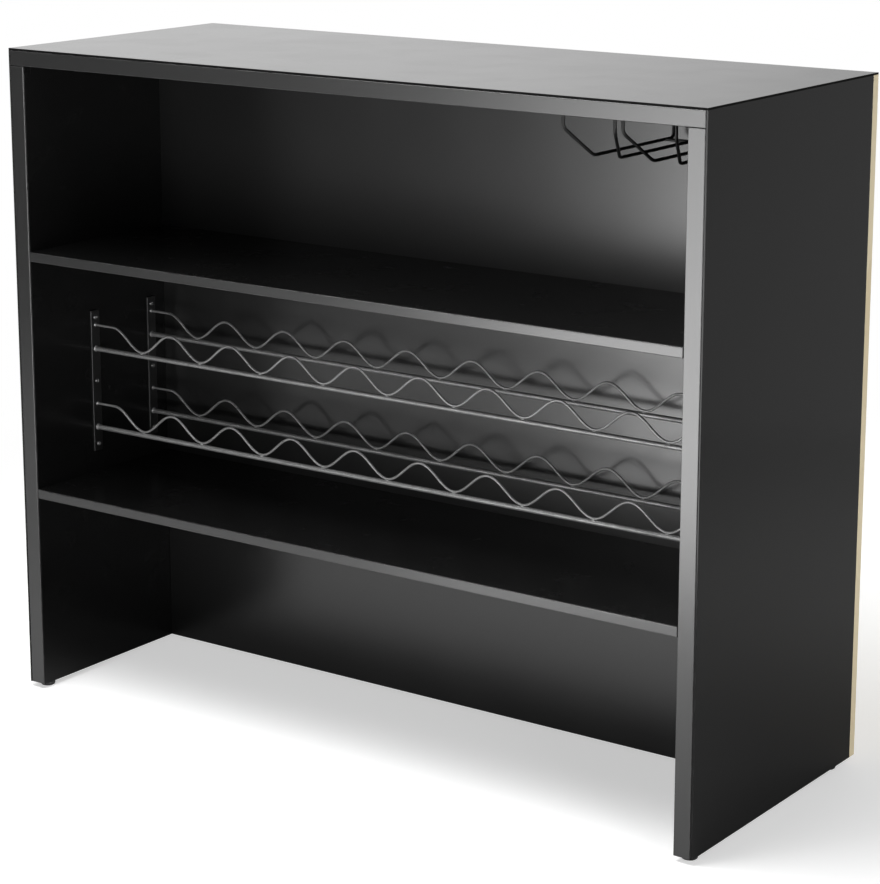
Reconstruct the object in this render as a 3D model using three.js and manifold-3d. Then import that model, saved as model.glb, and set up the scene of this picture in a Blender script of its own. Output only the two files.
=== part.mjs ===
// Bar counter with shelves, a two-level bottle rack and two stemware racks.
// Millimetres, +Z up, origin on the floor under the middle of the counter.
// The open bar side faces -Y, the customer side faces +Y.
import * as THREE from "three";
import { mergeVertices } from "three/addons/utils/BufferGeometryUtils.js";
import Module from "manifold-3d";

const wasm = await Module();
wasm.setup();

// Overall sizes
const overallWidth = 1290;
const overallDepth = 505;
const overallHeight = 1080;

// Boards and coverings
const sideThickness = 28;
const topThickness = 25;
const shelfThickness = 16;
const backThickness = 16;
const customerBoardThickness = 16;
const skinThickness = 3;
const edgeBandThickness = 2;
const edgeBandRadius = 1.2;
const shelfDepth = 326;
const upperShelfHeight = 750;
const lowerShelfHeight = 350;

// Battens that hold the customer-side board
const battenSize = 25;
const battenEndGap = 40;

// Wooden dowels
const dowelRadius = 4;
const dowelLength = 40;
const dowelChamfer = 1;
const topDowelDepth = 15;
const shelfDowelSetback = 60;
const topDowelSetback = 60;

// Floor glides
const glideHeight = 8;
const glideRadius = 12;
const glideEdgeRadius = 2.5;
const glidePinRadius = 2.5;
const glidePinLength = 14;
const frontGlideSetback = 24;
const rearGlideSetback = 40;

// Bottle rack
const uprightBottom = 386;
const uprightLength = 243;
const uprightWidth = 20;
const uprightThickness = 3;
const frontUprightSetback = 138;
const uprightSpacing = 141;
const rodRadius = 4;
const lowerRodHeight = 427;
const rodLevelSpacing = 136;
const waveWireRadius = 2;
const wavePitch = 127;
const waveRise = 35;
const bottlePlaces = 9;

// Rack screws
const screwShankRadius = 2;
const screwShankLength = 18;
const screwTipLength = 4;
const screwHeadRadius = 4.2;
const screwHeadHeight = 2.4;
const screwRimHeight = 1.1;
const screwCrownRadius = 2.6;
const screwEndSetback = 12;

// Stemware racks
const stemWireRadius = 2.5;
const stemLegSpread = 85;
const stemRailGap = 43;
const stemLegDrop = 22;
const stemRailDrop = 65;
const stemLegRun = 48;
const stemBendRadius = 9;
const stemLegSetback = 36;
const stemRearClearance = 22;
const stemRackSpacing = 98;
const stemRackSideDistance = 81;
const stemBoreDepth = 12;
const stemStopSetback = 24;

// Clearances: around and beyond a pin in its bore, and where a round piece sits on another or is welded to it
const boreClearance = 0.3;
const boreEndClearance = 0.4;
const seatGap = 0.3;

// Fineness of round forms
const roundSides = 12;
const wireSides = 6;
const waveStepsPerBottle = 8;
const stemWireSteps = 40;
const arcSteps = 3;

// Planes of the body, worked out from the sizes above
const outerX = overallWidth / 2;
const sideOuterX = outerX - skinThickness;
const innerX = sideOuterX - sideThickness;
const sideMiddleX = innerX + sideThickness / 2;
const frontY = -overallDepth / 2;
const bandBackY = frontY + edgeBandThickness;
const backFaceY = frontY + shelfDepth;
const backRearY = backFaceY + backThickness;
const customerY = overallDepth / 2;
const rearY = customerY - customerBoardThickness;
const bottomZ = glideHeight;
const topZ = overallHeight;
const topBoardZ = topZ - skinThickness;
const undersideZ = topBoardZ - topThickness;

// Colours and finishes
const blackFoil = { color: 0x121212, roughness: 0.32, metalness: 0 };
const blackGloss = { color: 0x0e0e0f, roughness: 0.2, metalness: 0 };
const blackBanding = { color: 0x2b2b2b, roughness: 0.4, metalness: 0 };
const paleWood = { color: 0xd5c6a4, roughness: 0.5, metalness: 0 };
const rackSteel = { color: 0x9a9a9a, roughness: 0.35, metalness: 0.9 };
const screwSteel = { color: 0xb5b5b5, roughness: 0.3, metalness: 0.9 };
const blackWire = { color: 0x0b0b0b, roughness: 0.4, metalness: 0.2 };
const blackPlastic = { color: 0x101010, roughness: 0.6, metalness: 0 };
const beech = { color: 0xc9a878, roughness: 0.7, metalness: 0 };
const spruce = { color: 0xd8bd8c, roughness: 0.75, metalness: 0 };

const counter = new THREE.Group();
const body = new THREE.Group();
const bottleRack = new THREE.Group();
const stemwareRacks = new THREE.Group();
counter.add(body, bottleRack, stemwareRacks);

// A closed geometry as a solid for joining and cutting
function solidOf(geometry) {
  const bare = geometry.clone();
  bare.deleteAttribute("normal");
  bare.deleteAttribute("uv");
  const merged = mergeVertices(bare, 1e-3);
  return new wasm.Manifold(
    new wasm.Mesh({
      numProp: 3,
      vertProperties: new Float32Array(merged.attributes.position.array),
      triVerts: new Uint32Array(merged.index.array),
    }),
  );
}

// A solid as a geometry for a mesh
function geometryOf(solid) {
  const mesh = solid.getMesh();
  const geometry = new THREE.BufferGeometry();
  geometry.setAttribute("position", new THREE.BufferAttribute(mesh.vertProperties, 3));
  geometry.setIndex(new THREE.BufferAttribute(mesh.triVerts, 1));
  geometry.computeVertexNormals();
  return geometry;
}

function addMesh(parent, name, geometry, finish) {
  const mesh = new THREE.Mesh(geometry, new THREE.MeshStandardMaterial(finish));
  mesh.name = name;
  parent.add(mesh);
  return mesh;
}

// A box whose faces lie exactly on the given planes
function boxBetween(spanX, spanY, spanZ) {
  const geometry = new THREE.BoxGeometry(1, 1, 1);
  const corners = geometry.attributes.position;
  for (let i = 0; i < corners.count; i += 1) {
    corners.setXYZ(
      i,
      spanX[corners.getX(i) < 0 ? 0 : 1],
      spanY[corners.getY(i) < 0 ? 0 : 1],
      spanZ[corners.getZ(i) < 0 ? 0 : 1],
    );
  }
  return geometry;
}

// A board between given planes, with bores cut out of it
function addBoard(parent, name, spanX, spanY, spanZ, finish, bores = []) {
  let solid = solidOf(boxBetween(spanX, spanY, spanZ));
  for (const bore of bores) {
    solid = solid.subtract(bore);
  }
  addMesh(parent, name, geometryOf(solid), finish);
}

// A round profile turned about Z, given as [radius, height] points from the axis back to the axis
function turned(profile) {
  const points = profile.map(([radius, height]) => new THREE.Vector2(radius, height));
  return new THREE.LatheGeometry(points, roundSides).rotateX(Math.PI / 2);
}

// A round bore along X or Z through a point, from one place on that axis to another
function boreBetween(axis, point, start, end, radius) {
  const geometry = new THREE.CylinderGeometry(radius, radius, Math.abs(end - start), roundSides);
  const centre = point.clone();
  centre[axis] = (start + end) / 2;
  if (axis === "x") {
    geometry.rotateZ(Math.PI / 2);
  } else {
    geometry.rotateX(Math.PI / 2);
  }
  return solidOf(geometry.translate(centre.x, centre.y, centre.z));
}

// Dowels: shelves are dowelled into the sides, and the top onto them
const shelfBottoms = {
  upper: upperShelfHeight - shelfThickness,
  lower: lowerShelfHeight - shelfThickness,
};
const shelfDowelRows = {
  front: frontY + shelfDowelSetback,
  rear: backFaceY - shelfDowelSetback,
};
const topDowelRows = {
  front: frontY + topDowelSetback,
  rear: rearY - topDowelSetback,
};
const sides = { left: -1, right: 1 };
const dowelBores = {
  left_side_panel: [],
  right_side_panel: [],
  upper_shelf: [],
  lower_shelf: [],
  top_panel: [],
};

function dowelGeometry() {
  const half = dowelLength / 2;
  return turned([
    [0, -half],
    [dowelRadius - dowelChamfer, -half],
    [dowelRadius, -half + dowelChamfer],
    [dowelRadius, half - dowelChamfer],
    [dowelRadius - dowelChamfer, half],
    [0, half],
  ]);
}

function addDowel(name, axis, point, boards) {
  const geometry = dowelGeometry();
  if (axis === "x") {
    geometry.rotateY(Math.PI / 2);
  }
  addMesh(body, name, geometry, beech).position.copy(point);
  const reach = dowelLength / 2 + boreEndClearance;
  const bore = boreBetween(axis, point, point[axis] - reach, point[axis] + reach, dowelRadius + boreClearance);
  for (const board of boards) {
    dowelBores[board].push(bore);
  }
}

for (const [side, sign] of Object.entries(sides)) {
  for (const [shelf, bottom] of Object.entries(shelfBottoms)) {
    for (const [row, y] of Object.entries(shelfDowelRows)) {
      const point = new THREE.Vector3(sign * innerX, y, bottom + shelfThickness / 2);
      addDowel(`${shelf}_shelf_dowel_${side}_${row}`, "x", point, [`${side}_side_panel`, `${shelf}_shelf`]);
    }
  }
  for (const [row, y] of Object.entries(topDowelRows)) {
    const point = new THREE.Vector3(sign * sideMiddleX, y, undersideZ + topDowelDepth - dowelLength / 2);
    addDowel(`top_dowel_${side}_${row}`, "z", point, [`${side}_side_panel`, "top_panel"]);
  }
}

// Floor glides: a plastic disc with a pin pressed up into the side board
const glideRows = { front: frontY + frontGlideSetback, rear: rearY - rearGlideSetback };
const glideBores = { left: [], right: [] };

function glideGeometry() {
  const profile = [[0, 0]];
  for (let i = 0; i <= arcSteps; i += 1) {
    const angle = (Math.PI / 2) * (i / arcSteps);
    profile.push([
      glideRadius - glideEdgeRadius * (1 - Math.sin(angle)),
      glideEdgeRadius * (1 - Math.cos(angle)),
    ]);
  }
  profile.push([glideRadius, glideHeight]);
  profile.push([glidePinRadius, glideHeight]);
  profile.push([glidePinRadius, glideHeight + glidePinLength]);
  profile.push([0, glideHeight + glidePinLength]);
  return turned(profile);
}

for (const [side, sign] of Object.entries(sides)) {
  for (const [row, y] of Object.entries(glideRows)) {
    const foot = new THREE.Vector3(sign * sideMiddleX, y, 0);
    addMesh(body, `glide_${side}_${row}`, glideGeometry(), blackPlastic).position.copy(foot);
    const boreEnd = bottomZ + glidePinLength + boreEndClearance;
    glideBores[side].push(boreBetween("z", foot, 0, boreEnd, glidePinRadius + boreClearance));
  }
}

// Bottle rack: upright strips screwed to the sides, rods between them and waved wires on the rods
const uprightRows = { front: frontY + frontUprightSetback };
uprightRows.rear = uprightRows.front + uprightSpacing;
const uprightFaceX = innerX - uprightThickness;
const rodLevels = { lower: lowerRodHeight, upper: lowerRodHeight + rodLevelSpacing };
const screwHeights = {
  bottom: uprightBottom + screwEndSetback,
  middle: uprightBottom + uprightLength / 2,
  top: uprightBottom + uprightLength - screwEndSetback,
};
const screwBores = { left: [], right: [] };

function screwGeometry() {
  return turned([
    [0, -screwShankLength],
    [screwShankRadius, -screwShankLength + screwTipLength],
    [screwShankRadius, 0],
    [screwHeadRadius, 0],
    [screwHeadRadius, screwRimHeight],
    [screwCrownRadius, screwHeadHeight],
    [0, screwHeadHeight],
  ]);
}

function addUpright(side, sign, row, frontEdgeY) {
  const middleY = frontEdgeY + uprightWidth / 2;
  const bores = [];
  for (const [place, z] of Object.entries(screwHeights)) {
    const screw = addMesh(bottleRack, `rack_screw_${side}_${row}_${place}`, screwGeometry(), screwSteel);
    screw.rotation.y = (-sign * Math.PI) / 2;
    screw.position.set(sign * (uprightFaceX - seatGap), middleY, z);
    const tipX = uprightFaceX + screwShankLength + boreEndClearance;
    bores.push(boreBetween("x", screw.position, 0, sign * tipX, screwShankRadius + boreClearance));
  }
  screwBores[side].push(...bores);
  const spanX = sign < 0 ? [-innerX, -uprightFaceX] : [uprightFaceX, innerX];
  const spanZ = [uprightBottom, uprightBottom + uprightLength];
  const spanY = [frontEdgeY, frontEdgeY + uprightWidth];
  addBoard(bottleRack, `rack_upright_${side}_${row}`, spanX, spanY, spanZ, rackSteel, bores);
}

// The wave: a cosine with a trough in the middle, level with its crests beyond the outermost ones
class BottleWave extends THREE.Curve {
  constructor(halfLength) {
    super();
    this.halfLength = halfLength;
  }

  getPoint(t, target = new THREE.Vector3()) {
    const x = (2 * t - 1) * this.halfLength;
    const lastCrest = (bottlePlaces / 2) * wavePitch;
    const trough = bottlePlaces % 2 === 1 ? 0 : wavePitch / 2;
    const phase = (2 * Math.PI * (Math.min(Math.abs(x), lastCrest) - trough)) / wavePitch;
    return target.set(x, 0, (waveRise * (1 - Math.cos(phase))) / 2);
  }
}

// A wire of round section along a curve
function wireAlong(curve, radius, steps) {
  const section = new THREE.Shape();
  for (let i = 0; i < wireSides; i += 1) {
    const angle = (2 * Math.PI * (i + 0.5)) / wireSides;
    const point = [radius * Math.cos(angle), radius * Math.sin(angle)];
    if (i === 0) {
      section.moveTo(...point);
    } else {
      section.lineTo(...point);
    }
  }
  section.closePath();
  return new THREE.ExtrudeGeometry(section, { steps, extrudePath: curve, bevelEnabled: false });
}

function addRackLevel(level, rodZ, row, y) {
  const halfLength = uprightFaceX - seatGap;
  const rod = new THREE.CylinderGeometry(rodRadius, rodRadius, 2 * halfLength, roundSides).rotateZ(Math.PI / 2);
  addMesh(bottleRack, `rack_rod_${row}_${level}`, rod, rackSteel).position.set(0, y, rodZ);
  const wave = wireAlong(new BottleWave(halfLength), waveWireRadius, (bottlePlaces + 1) * waveStepsPerBottle);
  const troughZ = rodZ + rodRadius + waveWireRadius + seatGap;
  addMesh(bottleRack, `bottle_wave_${row}_${level}`, wave, rackSteel).position.set(0, y, troughZ);
}

for (const [row, y] of Object.entries(uprightRows)) {
  for (const [side, sign] of Object.entries(sides)) {
    addUpright(side, sign, row, y);
  }
  for (const [level, z] of Object.entries(rodLevels)) {
    addRackLevel(level, z, row, y + uprightWidth / 2);
  }
}

// Stemware racks: two bent wire rails each, set into the underside of the top and joined by a stop wire
const stemRackPlaces = {
  right: innerX - stemRackSideDistance,
  left: innerX - stemRackSideDistance - stemRackSpacing,
};
const stemFrontY = frontY + stemLegSetback;
const stemRearY = backFaceY - stemRearClearance;
const stemRailZ = undersideZ - stemRailDrop;
const stemBores = [];

// A wire path through corner points with each corner rounded off
function bentPath(points, bendRadius) {
  const path = new THREE.CurvePath();
  let start = points[0];
  for (let i = 1; i < points.length - 1; i += 1) {
    const corner = points[i];
    const before = corner.clone().add(start.clone().sub(corner).setLength(bendRadius));
    const after = corner.clone().add(points[i + 1].clone().sub(corner).setLength(bendRadius));
    path.add(new THREE.LineCurve3(start, before));
    path.add(new THREE.QuadraticBezierCurve3(before, corner, after));
    start = after;
  }
  path.add(new THREE.LineCurve3(start, points[points.length - 1]));
  return path;
}

function stemRail(sign) {
  const legX = (sign * stemLegSpread) / 2;
  const railX = (sign * stemRailGap) / 2;
  const tipZ = undersideZ + stemBoreDepth;
  const corners = [
    new THREE.Vector3(legX, stemFrontY, tipZ),
    new THREE.Vector3(legX, stemFrontY, undersideZ - stemLegDrop),
    new THREE.Vector3(railX, stemFrontY + stemLegRun, stemRailZ),
    new THREE.Vector3(railX, stemRearY, stemRailZ),
    new THREE.Vector3(railX, stemRearY, tipZ),
  ];
  return wireAlong(bentPath(corners, stemBendRadius), stemWireRadius, stemWireSteps);
}

function addStemRack(name, rackX) {
  const stop = new THREE.CylinderGeometry(stemWireRadius, stemWireRadius, stemRailGap, wireSides);
  stop.rotateZ(Math.PI / 2).translate(0, stemRearY - stemStopSetback, stemRailZ);
  const rack = solidOf(stemRail(-1)).add(solidOf(stemRail(1))).add(solidOf(stop));
  addMesh(stemwareRacks, name, geometryOf(rack), blackWire).position.x = rackX;
  const boreEnd = undersideZ + stemBoreDepth + boreEndClearance;
  for (const sign of Object.values(sides)) {
    const ends = [
      new THREE.Vector3(rackX + (sign * stemLegSpread) / 2, stemFrontY, 0),
      new THREE.Vector3(rackX + (sign * stemRailGap) / 2, stemRearY, 0),
    ];
    for (const end of ends) {
      stemBores.push(boreBetween("z", end, stemRailZ, boreEnd, stemWireRadius + 2 * boreClearance));
    }
  }
}

for (const [place, x] of Object.entries(stemRackPlaces)) {
  addStemRack(`stemware_rack_${place}`, x);
}

// Boards of the body
const bodyDepth = [bandBackY, rearY];
for (const [side, sign] of Object.entries(sides)) {
  const spanX = sign < 0 ? [-sideOuterX, -innerX] : [innerX, sideOuterX];
  const bores = [...dowelBores[`${side}_side_panel`], ...glideBores[side], ...screwBores[side]];
  addBoard(body, `${side}_side_panel`, spanX, bodyDepth, [bottomZ, undersideZ], blackFoil, bores);
  const skinX = sign < 0 ? [-outerX, -sideOuterX] : [sideOuterX, outerX];
  addBoard(body, `${side}_side_skin`, skinX, [frontY, rearY], [bottomZ, topBoardZ], blackGloss);
  const battenX = sign < 0 ? [-innerX, battenSize - innerX] : [innerX - battenSize, innerX];
  const battenZ = [bottomZ + battenEndGap, undersideZ - battenEndGap];
  addBoard(body, `customer_board_batten_${side}`, battenX, [rearY - battenSize, rearY], battenZ, spruce);
}
const topBores = [...dowelBores.top_panel, ...stemBores];
addBoard(body, "top_panel", [-sideOuterX, sideOuterX], bodyDepth, [undersideZ, topBoardZ], blackFoil, topBores);
addBoard(body, "top_skin", [-outerX, outerX], [frontY, customerY], [topBoardZ, topZ], blackGloss);
addBoard(body, "back_panel", [-innerX, innerX], [backFaceY, backRearY], [bottomZ, undersideZ], blackFoil);
addBoard(body, "customer_board", [-outerX, outerX], [rearY, customerY], [bottomZ, topBoardZ], paleWood);
for (const [shelf, bottom] of Object.entries(shelfBottoms)) {
  const spanZ = [bottom, bottom + shelfThickness];
  const bores = dowelBores[`${shelf}_shelf`];
  addBoard(body, `${shelf}_shelf`, [-innerX, innerX], [bandBackY, backFaceY], spanZ, blackFoil, bores);
}

// Edge banding on the bar side: a flat strip with its two front edges rounded, run along X or Z
function addEdgeBand(name, axis, spanAcross, spanAlong) {
  const [low, high] = spanAcross;
  const radius = Math.min(edgeBandRadius, edgeBandThickness);
  const section = new THREE.Shape();
  section.moveTo(low, bandBackY);
  section.lineTo(low, frontY + radius);
  section.absarc(low + radius, frontY + radius, radius, Math.PI, 1.5 * Math.PI, false);
  section.lineTo(high - radius, frontY);
  section.absarc(high - radius, frontY + radius, radius, 1.5 * Math.PI, 2 * Math.PI, false);
  section.lineTo(high, bandBackY);
  section.closePath();
  const depth = spanAlong[1] - spanAlong[0];
  const band = new THREE.ExtrudeGeometry(section, { depth, bevelEnabled: false, curveSegments: arcSteps });
  band.translate(0, 0, spanAlong[0]);
  if (axis === "x") {
    band.rotateY(Math.PI / 2);
  }
  addMesh(body, name, band, blackBanding);
}

// A band run along X is drawn with its section upside down, because turning it about Y puts +X to -Z
addEdgeBand("top_edge_band", "x", [-topBoardZ, -undersideZ], [-sideOuterX, sideOuterX]);
for (const [shelf, bottom] of Object.entries(shelfBottoms)) {
  addEdgeBand(`${shelf}_shelf_edge_band`, "x", [-bottom - shelfThickness, -bottom], [-innerX, innerX]);
}
addEdgeBand("left_edge_band", "z", [-sideOuterX, -innerX], [bottomZ, undersideZ]);
addEdgeBand("right_edge_band", "z", [innerX, sideOuterX], [bottomZ, undersideZ]);

export default counter;
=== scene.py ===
import math

import bpy
import numpy as np
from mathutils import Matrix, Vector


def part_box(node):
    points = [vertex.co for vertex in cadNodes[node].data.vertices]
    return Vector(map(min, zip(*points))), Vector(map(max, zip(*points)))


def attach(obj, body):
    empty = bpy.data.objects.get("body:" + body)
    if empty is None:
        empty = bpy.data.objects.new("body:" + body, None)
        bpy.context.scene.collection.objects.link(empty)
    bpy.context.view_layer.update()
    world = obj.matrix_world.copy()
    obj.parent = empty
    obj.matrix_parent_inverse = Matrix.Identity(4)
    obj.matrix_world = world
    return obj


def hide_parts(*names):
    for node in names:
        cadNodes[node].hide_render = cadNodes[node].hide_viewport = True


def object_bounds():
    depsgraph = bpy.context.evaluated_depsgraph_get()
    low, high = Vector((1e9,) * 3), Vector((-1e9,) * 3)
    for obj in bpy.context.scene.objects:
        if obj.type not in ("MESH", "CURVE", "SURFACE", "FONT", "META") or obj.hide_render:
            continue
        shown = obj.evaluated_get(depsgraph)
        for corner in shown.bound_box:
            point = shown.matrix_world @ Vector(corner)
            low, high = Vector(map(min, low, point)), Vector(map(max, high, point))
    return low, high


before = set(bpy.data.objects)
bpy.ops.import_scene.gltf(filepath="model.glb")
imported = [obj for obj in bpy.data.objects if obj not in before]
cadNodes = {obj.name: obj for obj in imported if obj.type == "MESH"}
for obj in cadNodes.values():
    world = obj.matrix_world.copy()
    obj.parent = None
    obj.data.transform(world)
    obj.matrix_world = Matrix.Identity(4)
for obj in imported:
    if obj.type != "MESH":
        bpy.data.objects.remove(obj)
cadLow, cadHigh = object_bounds()
scene = bpy.context.scene
scene.view_settings.view_transform = "Standard"
mm = 0.001
print("frame loaded with", len(cadNodes), "nodes")


class Signal:
    # one output socket; operators add Math nodes and node() adds any other kind
    def __init__(self, tree, socket=None):
        self.tree, self.socket = tree, socket

    def node(self, kind, settings=None, inputs=None, out=0):
        made = self.tree.nodes.new(kind)
        for key, value in (settings or {}).items():
            setattr(made, key, value)
        for key, value in (inputs or {}).items():
            if isinstance(value, Signal):
                self.tree.links.new(value.socket, made.inputs[key])
            else:
                made.inputs[key].default_value = value
        return Signal(self.tree, made.outputs[out])

    def maths(self, operation, first, second=0.0, clamp=False):
        return self.node("ShaderNodeMath", {"operation": operation, "use_clamp": clamp}, {0: first, 1: second})

    def __add__(self, other): return self.maths("ADD", self, other)
    def __radd__(self, other): return self.maths("ADD", other, self)
    def __sub__(self, other): return self.maths("SUBTRACT", self, other)
    def __rsub__(self, other): return self.maths("SUBTRACT", other, self)
    def __mul__(self, other): return self.maths("MULTIPLY", self, other)
    def __rmul__(self, other): return self.maths("MULTIPLY", other, self)

    def clip(self):
        return self.maths("ADD", self, 0.0, clamp=True)

    def step(self, low, high):  # 0 below low, 1 above high, smooth between
        return self.node("ShaderNodeMapRange", {"interpolation_type": "SMOOTHSTEP"},
                         {"Value": self, "From Min": low, "From Max": high})

    def blend(self, dark, light):  # colour mix with this signal as its factor
        return self.node("ShaderNodeMix", {"data_type": "RGBA"}, {0: self, 6: dark, 7: light}, 2)

    def stretched(self, scales):  # coordinates times a scale along each axis
        return self.node("ShaderNodeVectorMath", {"operation": "MULTIPLY"}, {0: self, 1: scales})

    def along(self, direction):  # how far a vector goes along a direction
        return self.node("ShaderNodeVectorMath", {"operation": "DOT_PRODUCT"}, {0: self, 1: direction}, 1)

    def noise(self, scale, detail=3.0, roughness=0.5, distortion=0.0):
        return self.node("ShaderNodeTexNoise", {}, {"Vector": self, "Scale": scale, "Detail": detail,
                                                    "Roughness": roughness, "Distortion": distortion})

    def bump(self, strength, distance, below=None):
        inputs = {"Height": self, "Strength": strength, "Distance": distance}
        if below is not None:
            inputs["Normal"] = below
        return self.node("ShaderNodeBump", {}, inputs)


def grey(level):
    return (level, level, level, 1.0)


def newMaterial(name, fixed):
    # a Principled surface with its even values set on their own sockets, and the object coordinates
    material = bpy.data.materials.new(name)
    material.use_nodes = True
    shader = material.node_tree.nodes["Principled BSDF"]
    for key, value in fixed.items():
        shader.inputs[key].default_value = value
    return material, shader, Signal(material.node_tree).node("ShaderNodeTexCoord", out=3)


def feed(shader, signals):
    for key, value in signals.items():
        value.tree.links.new(value.socket, shader.inputs[key])


def showShader(material, signal):
    material.node_tree.links.new(signal.socket, material.node_tree.nodes["Material Output"].inputs["Surface"])


def rubbedArris(place, scale, edges):
    # the boards carry an arris mask, 1 on their rounded edges; noise breaks it into rubbed patches
    arris = place.node("ShaderNodeAttribute", {"attribute_name": "arris"}, out=2)
    return (arris * place.noise(scale, detail=4.0).step(*edges)).clip()


def blackColour(look, mask, rubbed):
    return rubbed.blend(mask.blend(grey(look["dark"]), grey(look["light"])), grey(look["worn"]))


plasticIndex = 1.5  # refractive index of foil, laminate, banding and coatings
# in each look: colours and scales first, then how much a pattern adds to the roughness (sheen),
# what is taken off again to keep its middle value, and a relief's strength and height
foilLook = {
    "dark": 0.0018, "light": 0.0036, "worn": 0.022, "coatRoughness": 0.24,
    "clouds": 5.0, "smudges": 13.0, "smudgeSwirl": 0.3, "smudgeEdges": (0.35, 0.85), "peel": 850.0,
    "pores": (14.0, 420.0, 420.0), "rubs": 60.0, "rubEdges": (0.42, 0.66),
    "cloudSheen": 0.05, "smudgeSheen": 0.035, "peelSheen": 0.03, "rubSheen": 0.14, "middle": 0.06,
    "poreRelief": (0.025, 0.3 * mm), "peelRelief": (0.05, 0.25 * mm),
}


def blackFoil(name, level, coat, roughness):
    # satin foil on board: fine orange peel, cloudy sheen, palm smudges and slightly rubbed arrises
    look = foilLook
    material, shader, place = newMaterial(name, {"IOR": plasticIndex, "Specular IOR Level": level,
                                                 "Coat Weight": coat, "Coat Roughness": look["coatRoughness"]})
    cloud = place.noise(look["clouds"])
    smudge = place.noise(look["smudges"], distortion=look["smudgeSwirl"]).step(*look["smudgeEdges"])
    peel = place.noise(look["peel"], detail=2.0)
    pores = place.stretched(look["pores"]).noise(1.0, detail=2.0)
    rubbed = rubbedArris(place, look["rubs"], look["rubEdges"])
    sheen = (cloud * look["cloudSheen"] + smudge * look["smudgeSheen"] + peel * look["peelSheen"]
             + rubbed * look["rubSheen"] + (roughness - look["middle"]))
    relief = pores.bump(*look["poreRelief"], peel.bump(*look["peelRelief"]))
    feed(shader, {"Base Color": blackColour(look, cloud, rubbed), "Roughness": sheen, "Normal": relief})
    return material


glossLook = {
    "dark": 0.0025, "light": 0.005, "worn": 0.03, "roughness": 0.17,
    "clouds": 4.0, "smudges": 11.0, "smudgeSwirl": 0.4, "smudgeEdges": (0.35, 0.85), "peel": 700.0,
    "hairlines": (9.0, 520.0, 520.0), "hairlineEdges": (0.62, 0.80), "rubs": 48.0, "rubEdges": (0.40, 0.64),
    "cloudSheen": 0.03, "smudgeSheen": 0.018, "hairlineSheen": 0.03, "rubSheen": 0.18, "middle": 0.02,
    "peelRelief": (0.035, 0.2 * mm),
    "edgeStarts": 0.7 * mm, "edgeFull": 0.2 * mm, "edgeLevel": 0.06, "edgeSheen": 0.6,
}


def blackGloss(name, level, mattEdge):
    # hard laminate skin: smoother, with faint hairline wiping marks; its edges may be left matt
    look = glossLook
    material, shader, place = newMaterial(name, {"IOR": plasticIndex, "Specular IOR Level": level})
    cloud = place.noise(look["clouds"])
    smudge = place.noise(look["smudges"], distortion=look["smudgeSwirl"]).step(*look["smudgeEdges"])
    hairline = place.stretched(look["hairlines"]).noise(1.0).step(*look["hairlineEdges"])
    rubbed = rubbedArris(place, look["rubs"], look["rubEdges"])
    colour = blackColour(look, cloud, rubbed)
    sheen = (cloud * look["cloudSheen"] + smudge * look["smudgeSheen"] + hairline * look["hairlineSheen"]
             + rubbed * look["rubSheen"] + (look["roughness"] - look["middle"]))
    relief = place.noise(look["peel"], detail=2.0).bump(*look["peelRelief"])
    feed(shader, {"Base Color": colour, "Roughness": sheen, "Normal": relief})
    if mattEdge:
        # the sawn core shows dull on the front and end edges of the skin
        starts, full = look["edgeStarts"], look["edgeFull"]
        across = place.along((1.0, 0.0, 0.0))
        ends = across.maths("ABSOLUTE", across).step(cadHigh[0] - starts, cadHigh[0] - full)
        front = 1 - place.along((0.0, 1.0, 0.0)).step(cadLow[1] + full, cadLow[1] + starts)
        dull = place.node("ShaderNodeBsdfPrincipled", {}, {
            "Base Color": colour, "Roughness": (sheen + look["edgeSheen"]).clip(), "Normal": relief,
            "Specular IOR Level": look["edgeLevel"]})
        glossy = Signal(material.node_tree, shader.outputs[0])
        edge = ends.maths("MAXIMUM", ends, front)
        showShader(material, place.node("ShaderNodeMixShader", {}, {0: edge, 1: glossy, 2: dull}))
    return material


bandLook = {
    "dark": 0.006, "light": 0.011, "worn": 0.08, "roughness": 0.30, "coat": 0.95, "coatRoughness": 0.3,
    "clouds": 9.0, "peel": 900.0, "rubs": 70.0, "rubEdges": (0.38, 0.62), "coatRubbedOff": 0.3,
    "cloudSheen": 0.06, "drawnSheen": 0.08, "rubSheen": 0.05, "middle": 0.06,
    "drawnRelief": (0.03, 0.2 * mm), "peelRelief": (0.04, 0.2 * mm),
}


def edgeBanding(name, run):
    # extruded strip: lengthwise drawing lines, brighter where the rounded arris is rubbed
    look = bandLook
    material, shader, place = newMaterial(name, {"IOR": plasticIndex, "Coat Roughness": look["coatRoughness"]})
    cloud = place.noise(look["clouds"])
    drawn = place.stretched(run).noise(1.0)
    peel = place.noise(look["peel"], detail=2.0)
    rubbed = rubbedArris(place, look["rubs"], look["rubEdges"])
    sheen = (cloud * look["cloudSheen"] + drawn * look["drawnSheen"] + rubbed * look["rubSheen"]
             + (look["roughness"] - look["middle"]))
    relief = drawn.bump(*look["drawnRelief"], peel.bump(*look["peelRelief"]))
    feed(shader, {"Base Color": blackColour(look, drawn, rubbed), "Roughness": sheen, "Normal": relief,
                  "Coat Weight": look["coat"] - rubbed * look["coatRubbedOff"]})
    return material


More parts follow.
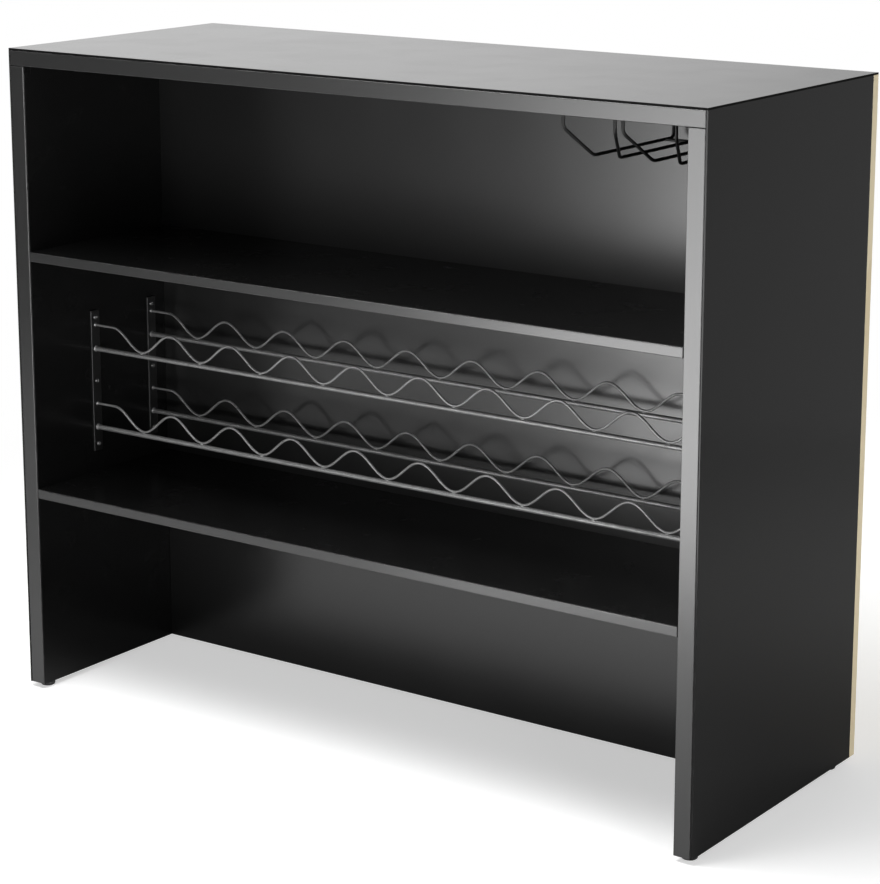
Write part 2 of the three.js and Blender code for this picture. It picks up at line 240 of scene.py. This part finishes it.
mapleLook = {"pale": (0.77, 0.68, 0.48, 1.0), "deep": (0.66, 0.55, 0.35, 1.0), "roughness": 0.42}
beechLook = {"pale": (0.60, 0.42, 0.25, 1.0), "deep": (0.43, 0.27, 0.14, 1.0), "roughness": 0.6}
spruceLook = {"pale": (0.72, 0.55, 0.34, 1.0), "deep": (0.50, 0.33, 0.17, 1.0), "roughness": 0.62}
woodFigure = {
    "index": 1.48, "swirl": 1.2, "ringsPerSwirl": 9.0, "ringEdges": (0.0, 0.75), "poreFineness": 2.6,
    "poreEdges": (0.63, 0.74), "ringDepth": 0.55, "fibreDepth": 0.45, "poreDepth": 0.25, "arrisDepth": 0.1,
    "fibreSheen": 0.14, "poreSheen": 0.12, "middle": 0.07, "poreSink": 0.6, "relief": (0.12, 0.25 * mm),
}


def grainedWood(name, look, run, rings, fibres):
    # cathedral grain: warped rings drawn out along the board, short fibres and small dark pores
    wood = woodFigure
    material, shader, place = newMaterial(name, {"IOR": wood["index"]})
    arris = place.node("ShaderNodeAttribute", {"attribute_name": "arris"}, out=2)
    along = place.stretched(run)
    figure = along.noise(rings, detail=4.0, roughness=0.55, distortion=wood["swirl"]) * wood["ringsPerSwirl"]
    ring = figure.maths("FRACT", figure).step(*wood["ringEdges"])
    fibre = along.noise(fibres, roughness=0.6)
    pores = along.noise(fibres * wood["poreFineness"], detail=2.0).step(*wood["poreEdges"])
    depth = (ring * wood["ringDepth"] + fibre * wood["fibreDepth"] + pores * wood["poreDepth"]
             + arris * wood["arrisDepth"]).clip()
    sheen = fibre * wood["fibreSheen"] + pores * wood["poreSheen"] + (look["roughness"] - wood["middle"])
    relief = (fibre - pores * wood["poreSink"]).bump(*wood["relief"])
    feed(shader, {"Base Color": depth.blend(look["pale"], look["deep"]), "Roughness": sheen, "Normal": relief})
    return material


steelLook = {"dark": 0.20, "light": 0.36, "metal": 0.80, "roughness": 0.50}
zincLook = {"dark": 0.10, "light": 0.20, "metal": 0.95, "roughness": 0.34}
metalGrain = {
    "patches": 34.0, "patchEdges": (0.40, 0.70), "grit": 1400.0,
    "drawnDepth": 0.6, "patchDepth": 0.3, "gritDepth": 0.1, "drawnSheen": 0.10, "patchSheen": 0.10, "middle": 0.05,
    "drawnRelief": (0.05, 0.1 * mm), "gritRelief": (0.04, 0.08 * mm),
}


def drawnSteel(name, look, run):
    # drawn metal: lines along the wire, dull patches from handling
    grain = metalGrain
    material, shader, place = newMaterial(name, {"Metallic": look["metal"]})
    drawn = place.stretched(run).noise(1.0, roughness=0.6)
    patch = place.noise(grain["patches"], detail=4.0, roughness=0.6).step(*grain["patchEdges"])
    grit = place.noise(grain["grit"], detail=2.0)
    depth = (drawn * grain["drawnDepth"] + patch * grain["patchDepth"] + grit * grain["gritDepth"]).clip()
    sheen = drawn * grain["drawnSheen"] + patch * grain["patchSheen"] + (look["roughness"] - grain["middle"])
    relief = drawn.bump(*grain["drawnRelief"], grit.bump(*grain["gritRelief"]))
    feed(shader, {"Base Color": depth.blend(grey(look["light"]), grey(look["dark"])), "Roughness": sheen,
                  "Normal": relief})
    return material


wireLook = {"dark": 0.003, "light": 0.007, "level": 0.3, "roughness": 0.42, "lumps": 900.0}
stripLook = {"dark": 0.002, "light": 0.005, "level": 0.6, "roughness": 0.33, "lumps": 1100.0}
glideLook = {"dark": 0.010, "light": 0.022, "level": 0.5, "roughness": 0.5, "lumps": 600.0}
coatGrain = {"clouds": 40.0, "cloudSheen": 0.10, "lumpSheen": 0.10, "middle": 0.10, "relief": (0.10, 0.2 * mm)}


def coatedBlack(name, look):
    # dip or powder coat, and moulded plastic: fine lumps and a cloudy sheen
    grain = coatGrain
    material, shader, place = newMaterial(name, {"IOR": plasticIndex, "Specular IOR Level": look["level"]})
    cloud = place.noise(grain["clouds"], detail=4.0)
    lumps = place.noise(look["lumps"])
    sheen = cloud * grain["cloudSheen"] + lumps * grain["lumpSheen"] + (look["roughness"] - grain["middle"])
    feed(shader, {"Base Color": cloud.blend(grey(look["dark"]), grey(look["light"])), "Roughness": sheen,
                  "Normal": lumps.bump(*grain["relief"])})
    return material


backFoil = blackFoil("backFoil", level=0.5, coat=0.85, roughness=0.31)
boardFoil = blackFoil("boardFoil", level=0.24, coat=0.0, roughness=0.27)
topGloss = blackGloss("topGloss", level=0.75, mattEdge=True)
sideGloss = blackGloss("sideGloss", level=0.24, mattEdge=False)
bandAcross = edgeBanding("bandAcross", run=(6.0, 700.0, 700.0))
bandUpright = edgeBanding("bandUpright", run=(700.0, 700.0, 6.0))
maple = grainedWood("mapleDecor", mapleLook, run=(1.0, 1.0, 0.06), rings=9.0, fibres=420.0)
beech = grainedWood("beechDowel", beechLook, run=(0.08, 1.0, 1.0), rings=60.0, fibres=900.0)
beechUpright = grainedWood("beechDowelUpright", beechLook, run=(1.0, 1.0, 0.08), rings=60.0, fibres=900.0)
spruce = grainedWood("spruceBatten", spruceLook, run=(1.0, 1.0, 0.05), rings=70.0, fibres=700.0)
rackSteel = drawnSteel("rackSteel", steelLook, run=(30.0, 900.0, 900.0))
zinc = drawnSteel("zincScrew", zincLook, run=(500.0, 500.0, 500.0))
stripBlack = coatedBlack("stripBlack", stripLook)
blackWire = coatedBlack("blackWire", wireLook)
glidePlastic = coatedBlack("glidePlastic", glideLook)
print("finishes made:", len(bpy.data.materials))

meshMaking = {"sameWithin": 0.0001 * mm, "sharpFrom": math.radians(48)}


def boxOf(*names):
    # lowest and highest corner of one or more CAD nodes
    corners = np.array([[list(corner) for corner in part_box(name)] for name in names])
    return corners[:, 0].min(axis=0), corners[:, 1].max(axis=0)


def unit(vectors):
    return vectors / np.linalg.norm(vectors, axis=-1, keepdims=True)


def fullTurn(sides):
    return np.linspace(0.0, 2 * math.pi, sides, endpoint=False)


def quadsOf(points):
    # quads between neighbours of a rows by columns grid that closes round its columns;
    # points that fall together become one, so poles and seams are shut
    rows, columns = points.shape[:2]
    keys = np.round(points.reshape(-1, 3) / meshMaking["sameWithin"]).astype(np.int64)
    _, first, same = np.unique(keys, axis=0, return_index=True, return_inverse=True)
    index = same.reshape(rows, columns)
    after = np.roll(index, -1, axis=1)
    quads = np.stack([index[:-1], after[:-1], after[1:], index[1:]], axis=-1).reshape(-1, 4)
    return first, quads


def addPiece(name, grids, finish, replaced=()):
    # every grid is its points, and for a board also its arris mask and true normals;
    # they share one mesh, one finish and one body
    places, faces, wear, normals, base = [], [], [], [], 0
    for points, arris, normal in grids:
        first, quads = quadsOf(points)
        places.append(points.reshape(-1, 3)[first])
        wear.append(np.zeros(len(first)) if arris is None else arris.reshape(-1)[first])
        if normal is not None:
            normals.append(normal.reshape(-1, 3)[first])
        faces.append(quads + base)
        base += len(first)
    points, quads = np.concatenate(places), np.concatenate(faces)
    kept = quads != np.roll(quads, 1, axis=1)  # a corner that repeats the one before it goes
    sides = kept.sum(axis=1)
    kept &= (sides > 2)[:, None]
    sides = sides[sides > 2]
    mesh = bpy.data.meshes.new(name)
    mesh.vertices.add(len(points))
    mesh.vertices.foreach_set("co", points.astype(np.float32).ravel())
    mesh.loops.add(int(sides.sum()))
    mesh.loops.foreach_set("vertex_index", quads[kept].astype(np.int32))
    mesh.polygons.add(len(sides))
    mesh.polygons.foreach_set("loop_start", (np.cumsum(sides) - sides).astype(np.int32))
    mesh.update(calc_edges=True)
    mask = mesh.attributes.new("arris", "FLOAT", "POINT")
    mask.data.foreach_set("value", np.concatenate(wear).astype(np.float32))
    mesh.shade_smooth()
    if normals:
        mesh.normals_split_custom_set_from_vertices(np.concatenate(normals))
    else:
        mesh.set_sharp_from_angle(angle=meshMaking["sharpFrom"])
    piece = bpy.data.objects.new(name, mesh)
    scene.collection.objects.link(piece)
    mesh.materials.append(finish)
    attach(piece, "root")
    if replaced:
        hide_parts(*replaced)
    return piece


def roundedBoard(low, high, radius, arc=5, wearReach=3.4):
    # a sphere of the arris radius, cut by its three middle planes, its eighths moved out to the corners of the
    # board: p = centre + sign * (half - radius) + radius * n(longitude, latitude), closed by a point on each end
    quarter = np.linspace(0.0, math.pi / 2, arc + 1)
    longitude = np.concatenate([quarter + turn * math.pi / 2 for turn in range(4)])
    latitude = np.concatenate([quarter - math.pi / 2, quarter])
    normal = np.stack([np.outer(np.cos(latitude), np.cos(longitude)),
                       np.outer(np.cos(latitude), np.sin(longitude)),
                       np.outer(np.sin(latitude), np.ones_like(longitude))], axis=-1)
    sign = np.empty_like(normal)
    sign[..., 0] = np.repeat([1, -1, -1, 1], arc + 1)
    sign[..., 1] = np.repeat([1, 1, -1, -1], arc + 1)
    sign[..., 2] = np.repeat([-1, 1], arc + 1)[:, None]
    points = (low + high) / 2 + sign * ((high - low) / 2 - radius) + radius * normal
    arris = np.clip(wearReach * (1.0 - np.abs(normal).max(axis=-1)), 0.0, 1.0)
    ends = np.tile((low + high) / 2, (2, len(longitude), 1))
    ends[0, :, 2], ends[1, :, 2] = low[2], high[2]
    flat = np.zeros((1, len(longitude)))
    return (np.concatenate([ends[:1], points, ends[1:]]), np.concatenate([flat, arris, flat]),
            np.concatenate([normal[:1], normal, normal[-1:]]))


def wireAlong(path, radius, sides, across=(0.0, 1.0, 0.0)):
    # a circle carried square to the path: p = path + radius * (cos a * first + sin a * second), with flat shut ends
    tangent = unit(np.gradient(path, axis=0))
    first = unit(np.cross(tangent, across))
    second = np.cross(tangent, first)
    angle = fullTurn(sides)[:, None]
    tube = path[:, None] + radius * (first[:, None] * np.cos(angle) + second[:, None] * np.sin(angle))
    ends = np.repeat(path[[0, -1]][:, None], sides, axis=1)
    return np.concatenate([ends[:1], tube, ends[1:]]), None, None


def turnedAbout(centre, axis, profile, sides):
    # a profile of (radius, height) pairs turned about an axis: p = centre + height * axis + radius * (cos a, sin a)
    axis, profile = np.array(axis, dtype=float), np.array(profile)
    first = unit(np.cross(axis, (0.3, 0.5, 0.81)))  # any direction that is never the axis itself
    second = np.cross(axis, first)
    angle = fullTurn(sides)[:, None]
    ring = first * np.cos(angle) + second * np.sin(angle)
    return np.array(centre) + profile[:, 1, None, None] * axis + profile[:, 0, None, None] * ring, None, None


def bead(centre, size, sides=12, rows=7):
    # an ellipsoid: centre + size * (cos b cos a, cos b sin a, sin b)
    up = np.linspace(-math.pi / 2, math.pi / 2, rows)
    angle = fullTurn(sides)
    ball = np.stack([np.outer(np.cos(up), np.cos(angle)), np.outer(np.cos(up), np.sin(angle)),
                     np.outer(np.sin(up), np.ones(sides))], axis=-1)
    return np.array(centre) + np.array(size) * ball, None, None


def pieceName(node):
    first, *rest = node.split("_")
    return first + "".join(word.capitalize() for word in rest)


boards = {  # node: finish, slot, arris radius
    "left_side_panel": (boardFoil, "black_foil", 0.4 * mm),
    "right_side_panel": (boardFoil, "black_foil", 0.4 * mm),
    "top_panel": (boardFoil, "black_foil", 0.4 * mm),
    "upper_shelf": (boardFoil, "black_foil", 0.5 * mm),
    "lower_shelf": (boardFoil, "black_foil", 0.5 * mm),
    "back_panel": (backFoil, "black_foil", 0.6 * mm),
    "top_skin": (topGloss, "black_gloss", 0.8 * mm),
    "left_side_skin": (sideGloss, "black_gloss", 0.7 * mm),
    "right_side_skin": (sideGloss, "black_gloss", 0.7 * mm),
    "customer_board": (maple, "pale_wood", 0.8 * mm),
}
for node, (finish, slot, radius) in boards.items():
    addPiece(pieceName(node), [roundedBoard(*boxOf(node), radius)], finish, [node])

bands = {  # node: finish
    "top_edge_band": bandAcross,
    "upper_shelf_edge_band": bandAcross,
    "lower_shelf_edge_band": bandAcross,
    "left_edge_band": bandUpright,
    "right_edge_band": bandUpright,
}
# each goes a little into its board so that only its front arris shows, with a narrow joint all round
bandShape = {"arris": 0.95 * mm, "sunkIn": 1.2 * mm, "joint": 0.6 * mm}
for node, finish in bands.items():
    low, high = boxOf(node)
    joint = bandShape["joint"] * np.array((1, 0, 1))
    low, high = low + joint, high - joint
    high[1] += bandShape["sunkIn"]
    addPiece(pieceName(node), [roundedBoard(low, high, bandShape["arris"])], finish, [node])
print("boards made:", len(boards) + len(bands))

bottleRack = {
    "places": 9, "pitch": 127 * mm, "rise": 35 * mm, "wire": 2.0 * mm, "rod": 4.0 * mm,
    "weldSize": (4.6 * mm, 2.7 * mm, 1.7 * mm), "stripArris": 0.7 * mm,
    "collar": 1.5 * mm, "collarSteps": ((1.0, 0.0), (0.7, 0.5), (0.15, 1.1)), "collarTop": 1.3, "collarCore": 0.2,
    "waveSteps": 640, "rodSteps": 80, "wireSides": 14, "rodSides": 20,
}


def waveHeight(x):
    # a trough at each bottle's place, level past the last crest: rise * (1 - cos(2 pi x / pitch)) / 2
    lastCrest = bottleRack["places"] / 2 * bottleRack["pitch"]
    first = 0.0 if bottleRack["places"] % 2 else bottleRack["pitch"] / 2
    phase = 2 * math.pi * (np.minimum(np.abs(x), lastCrest) - first) / bottleRack["pitch"]
    return bottleRack["rise"] * (1 - np.cos(phase)) / 2


def alongX(x, y, z):
    # points at x, with y and z given as numbers or as arrays of the same length
    return np.stack([x, y + 0 * x, z + 0 * x], axis=-1)


def weldCollar(centre, towards, radius):
    # a low ring of weld round a wire's end: (radius + out * collar, up * collar), shut towards the wire's core
    size, core = bottleRack["collar"], bottleRack["collarCore"] * radius
    outside = [(radius + out * size, up * size) for out, up in bottleRack["collarSteps"]]
    profile = [(core, 0.0), *outside, (core, bottleRack["collarTop"] * size)]
    return turnedAbout(centre, (towards, 0, 0), profile, bottleRack["rodSides"])


for row in ("front", "rear"):
    faceX = boxOf(f"rack_upright_right_{row}")[0][0]  # inner face of the right-hand strip
    for side in ("left", "right"):
        node = f"rack_upright_{side}_{row}"
        strip = roundedBoard(*boxOf(node), bottleRack["stripArris"])
        addPiece(pieceName(node), [strip], stripBlack, [node])
    for level in ("lower", "upper"):
        node = f"rack_rod_{row}_{level}"
        low, high = boxOf(node)
        y, rodZ = (low[1] + high[1]) / 2, (low[2] + high[2]) / 2
        rod = alongX(np.linspace(-faceX, faceX, bottleRack["rodSteps"]), y, rodZ)
        addPiece(pieceName(node), [wireAlong(rod, bottleRack["rod"], bottleRack["rodSides"])], rackSteel,
                 [node])
        node = f"bottle_wave_{row}_{level}"
        troughZ = rodZ + bottleRack["rod"] + bottleRack["wire"]
        x = np.linspace(-faceX, faceX, bottleRack["waveSteps"])
        wave = alongX(x, y, troughZ + waveHeight(x))
        addPiece(pieceName(node), [wireAlong(wave, bottleRack["wire"], bottleRack["wireSides"])], rackSteel,
                 [node])
        troughs = (np.arange(bottleRack["places"]) - (bottleRack["places"] - 1) / 2) * bottleRack["pitch"]
        welds = [bead((trough, y, troughZ - bottleRack["wire"]), bottleRack["weldSize"]) for trough in troughs]
        for towards in (-1, 1):
            welds.append(weldCollar((-towards * faceX, y, rodZ), towards, bottleRack["rod"]))
            welds.append(weldCollar((-towards * faceX, y, wave[0, 2]), towards, bottleRack["wire"]))
        addPiece(f"rackWelds{row.capitalize()}{level.capitalize()}", welds, rackSteel)
print("bottle rack made")

screwShape = {"radius": 4.2 * mm, "height": 2.7 * mm, "rim": 0.7 * mm, "dome": 2.6, "rings": 26, "sides": 64,
              "slotWide": 0.75 * mm, "slotLong": 2.5 * mm, "slotDeep": 1.3 * mm, "wallSlope": 1.6, "endSlope": 2.4}


def panHead(centre, towards):
    # a domed head with a cross recess: h(u, v) = rim + (height - rim) * (1 - (r / radius)^dome) - recess(u, v)
    size = screwShape
    r = np.linspace(0.0, 1.0, size["rings"])[:, None] * size["radius"]
    angle = fullTurn(size["sides"])[None, :]
    u, v = r * np.cos(angle), r * np.sin(angle)
    near, far = np.minimum(abs(u), abs(v)), np.maximum(abs(u), abs(v))
    wall = np.clip(size["wallSlope"] * (1 - near / size["slotWide"]), 0, 1)
    end = np.clip(size["endSlope"] * (1 - far / size["slotLong"]), 0, 1)
    dome = (size["height"] - size["rim"]) * (1 - (r / size["radius"]) ** size["dome"])
    crown = np.stack([towards * (size["rim"] + dome - size["slotDeep"] * wall * end), u, v], axis=-1)
    foot = crown[-1:] * (0, 1, 1)
    grid = np.concatenate([crown, foot, foot * 0])
    return np.array(centre) + (grid if towards < 0 else grid[:, ::-1]), None, None


for side, towards in (("left", 1), ("right", -1)):
    for row in ("front", "rear"):
        seat = boxOf(f"rack_upright_{side}_{row}")[1 if side == "left" else 0][0]
        for height in ("bottom", "middle", "top"):
            node = f"rack_screw_{side}_{row}_{height}"
            low, high = boxOf(node)
            centre = (seat, (low[1] + high[1]) / 2, (low[2] + high[2]) / 2)
            addPiece(pieceName(node), [panHead(centre, towards)], zinc, [node])
print("screws made")

stemRack = {"wire": 2.5 * mm, "legSpread": 85 * mm, "railGap": 43 * mm, "legDrop": 22 * mm, "railDrop": 65 * mm,
            "legRun": 48 * mm, "bend": 7 * mm, "stopFromEnd": 24 * mm, "sunk": 11 * mm,
            "bendSteps": 12, "wireSteps": 220, "sides": 14,
            "across": (1.0, 0.05, 0.0)}  # a direction that no run of the wire takes


def bentPath(corners):
    # straight runs joined by curves: (1 - t)^2 start + 2 t (1 - t) corner + t^2 end
    t = np.linspace(0.0, 1.0, stemRack["bendSteps"])[:, None]
    runs = [corners[:1]]
    for before, corner, after in zip(corners[:-2], corners[1:-1], corners[2:]):
        start = corner + unit(before - corner) * stemRack["bend"]
        end = corner + unit(after - corner) * stemRack["bend"]
        runs.append((1 - t) ** 2 * start + 2 * t * (1 - t) * corner + t ** 2 * end)
    runs.append(corners[-1:])
    path = np.concatenate(runs)
    # even steps along the whole length keep the tangents true
    length = np.concatenate([[0.0], np.cumsum(np.linalg.norm(np.diff(path, axis=0), axis=1))])
    even = np.linspace(0.0, length[-1], stemRack["wireSteps"])
    return np.stack([np.interp(even, length, path[:, axis]) for axis in range(3)], axis=-1)


undersideZ = boxOf("top_panel")[0][2]
sunkZ, railZ = undersideZ + stemRack["sunk"], undersideZ - stemRack["railDrop"]
for side in ("left", "right"):
    node = f"stemware_rack_{side}"
    low, high = boxOf(node)
    middleX = (low[0] + high[0]) / 2
    legY, endY = low[1] + stemRack["wire"], high[1] - stemRack["wire"]
    wires = []
    for hand in (-1, 1):
        legX, railX = middleX + hand * stemRack["legSpread"] / 2, middleX + hand * stemRack["railGap"] / 2
        corners = np.array([(legX, legY, sunkZ), (legX, legY, undersideZ - stemRack["legDrop"]),
                            (railX, legY + stemRack["legRun"], railZ), (railX, endY, railZ), (railX, endY, sunkZ)])
        wires.append(wireAlong(bentPath(corners), stemRack["wire"], stemRack["sides"], stemRack["across"]))
    halfGap = stemRack["railGap"] / 2
    stopX = np.linspace(middleX - halfGap, middleX + halfGap, stemRack["bendSteps"])
    stop = alongX(stopX, endY - stemRack["stopFromEnd"], railZ)
    wires.append(wireAlong(stop, stemRack["wire"], stemRack["sides"]))
    addPiece(pieceName(node), wires, blackWire, [node])
print("stemware racks made")

glideShape = {"radius": 12 * mm, "edge": 2.5 * mm, "edgeSteps": 7, "tall": 8 * mm, "sides": 48,
              "hollow": 0.4 * mm, "lip": 2 * mm, "lipSlope": 1 * mm,
              "shoulder": 1.2 * mm, "shoulderIn": 0.5 * mm, "shoulderUp": 0.4 * mm}
radius, edge, tall = glideShape["radius"], glideShape["edge"], glideShape["tall"]
# a shallow hollow underneath, a quarter-round foot edge and a broken shoulder at the top
curve = np.linspace(0.0, math.pi / 2, glideShape["edgeSteps"])
lipRadius = radius - edge - glideShape["lip"]
glideProfile = np.concatenate([
    [(0, glideShape["hollow"]), (lipRadius - glideShape["lipSlope"], glideShape["hollow"]), (lipRadius, 0)],
    np.stack([radius - edge + edge * np.sin(curve), edge - edge * np.cos(curve)], axis=-1),
    [(radius, tall - glideShape["shoulder"]), (radius - glideShape["shoulderIn"], tall - glideShape["shoulderUp"]),
     (radius - glideShape["shoulder"], tall), (0, tall)]])
for side in ("left", "right"):
    for row in ("front", "rear"):
        node = f"glide_{side}_{row}"
        low, high = boxOf(node)
        centre = ((low[0] + high[0]) / 2, (low[1] + high[1]) / 2, low[2])
        glide = turnedAbout(centre, (0, 0, 1), glideProfile, glideShape["sides"])
        addPiece(pieceName(node), [glide], glidePlastic, [node])
print("glides made")

for node, piece in cadNodes.items():
    if "dowel" in node:
        piece.material_slots[0].material = beechUpright if node.startswith("top") else beech
    elif "batten" in node:
        piece.material_slots[0].material = spruce
print("hidden wood finished")

softboxes = {  # metres and watts; the key is a tilted plate low in front, which the upright faces mirror
    "key": {"place": (-0.33, -2.55, 0.585), "aim": (-0.17, -2.154, 1.489), "size": (1.26, 2.64), "power": 66.0},
    "top": {"place": (-0.4, -0.8, 2.7), "aim": (0.0, -0.5, 0.0), "size": (1.6, 1.4), "power": 85.0},
    "low": {"place": (-1.5, -2.0, 0.05), "aim": (-1.5, -1.99, 1.0), "size": (1.3, 1.6), "power": 3.0},
    "rear": {"place": (-0.7, 3.2, 0.56), "aim": (-0.1, 0.25, 0.56), "size": (2.2, 1.0), "power": 48.0},
    "side": {"place": (3.4, -1.3, 0.56), "aim": (0.6, 0.2, 0.56), "size": (1.6, 1.0), "power": 68.0},
}


def aimed(place, aim):
    # turns an object's own -Z towards a point
    away = unit(np.array(place) - np.array(aim))
    return (math.acos(away[2]), 0.0, math.atan2(away[0], -away[1]))


for name, box in softboxes.items():
    light = bpy.data.lights.new(name + "Softbox", "AREA")
    light.shape, light.energy = "RECTANGLE", box["power"]
    light.size, light.size_y = box["size"]
    lamp = bpy.data.objects.new(name + "Softbox", light)
    lamp.location, lamp.rotation_euler = box["place"], aimed(box["place"], box["aim"])
    lamp.visible_camera = False
    scene.collection.objects.link(lamp)

# a round sheet of lit paper; the camera sees it lifted to white, with the object's shadow kept
floorLook = {"radius": 2.6, "sides": 96, "fades": (1.0, 2.3), "colour": 0.70, "lift": 0.50, "roughness": 0.9}
angle = fullTurn(floorLook["sides"])
rim = floorLook["radius"] * np.stack([np.cos(angle), np.sin(angle), 0 * angle], axis=-1)
floorMesh = bpy.data.meshes.new("floor")
floorMesh.from_pydata(rim.tolist(), [], [list(range(len(rim)))])
floor = bpy.data.objects.new("floor", floorMesh)
scene.collection.objects.link(floor)
paper, paperShader, place = newMaterial("floorPaper", {
    "Base Color": grey(floorLook["colour"]), "Roughness": floorLook["roughness"], "Specular IOR Level": 0.0,
    "Emission Strength": 1.0})
floorMesh.materials.append(paper)
seen = place.node("ShaderNodeLightPath")
feed(paperShader, {"Emission Color": seen.blend(grey(0.0), grey(floorLook["lift"]))})
fromMiddle = place.node("ShaderNodeVectorMath", {"operation": "LENGTH"}, {0: place}, 1)
white = place.node("ShaderNodeEmission", {}, {"Color": grey(1.0), "Strength": 1.0})
lit = Signal(paper.node_tree, paperShader.outputs[0])
faded = seen * fromMiddle.step(*floorLook["fades"])
showShader(paper, place.node("ShaderNodeMixShader", {}, {0: faded, 1: lit, 2: white}))

# the white wall stands behind the counter, to the left; a grey one to the right; the rest of the room is dim
room = {"ambient": 0.10, "dim": 0.15, "grey": 0.42, "whiteTowards": (-0.8, 0.6, 0.0), "whiteEdge": (0.75, 0.99),
        "greyTowards": (0.6, 0.8, 0.0), "greyEdge": (0.55, 0.95)}
world = bpy.data.worlds.new("studio")
scene.world = world
world.use_nodes = True
worldTree = world.node_tree
background = worldTree.nodes["Background"]
seen = Signal(worldTree).node("ShaderNodeLightPath")
mirrored = Signal(worldTree, seen.socket.node.outputs["Is Glossy Ray"])
through = Signal(worldTree, seen.socket.node.outputs["Is Transmission Ray"])
direction = Signal(worldTree).node("ShaderNodeTexCoord")
whiteWall = direction.along(room["whiteTowards"]).step(*room["whiteEdge"])
greyWall = direction.along(room["greyTowards"]).step(*room["greyEdge"])
walls = whiteWall + (1 - whiteWall) * (greyWall * (room["grey"] - room["dim"]) + room["dim"])
strength = seen + (1 - seen) * (mirrored * walls + through + (1 - mirrored - through).clip() * room["ambient"])
worldTree.links.new(strength.socket, background.inputs["Strength"])
background.inputs["Color"].default_value = grey(1.0)
print("studio made")

view = {"focalPixels": 2640.0, "longSide": 884.0, "sensor": 36.0, "yaw": 35.52, "pitch": 12.69, "shiftY": -0.10,
        "place": (2.3848, -3.3036, 1.5323)}
cameraData = bpy.data.cameras.new("photoCamera")
cameraData.sensor_width = view["sensor"]
cameraData.lens = view["focalPixels"] * view["sensor"] / view["longSide"]
cameraData.shift_y = view["shiftY"]
camera = bpy.data.objects.new("photoCamera", cameraData)
camera.location = view["place"]
camera.rotation_euler = (math.radians(90 - view["pitch"]), 0.0, math.radians(view["yaw"]))
scene.collection.objects.link(camera)
scene.camera = camera
print("camera made")
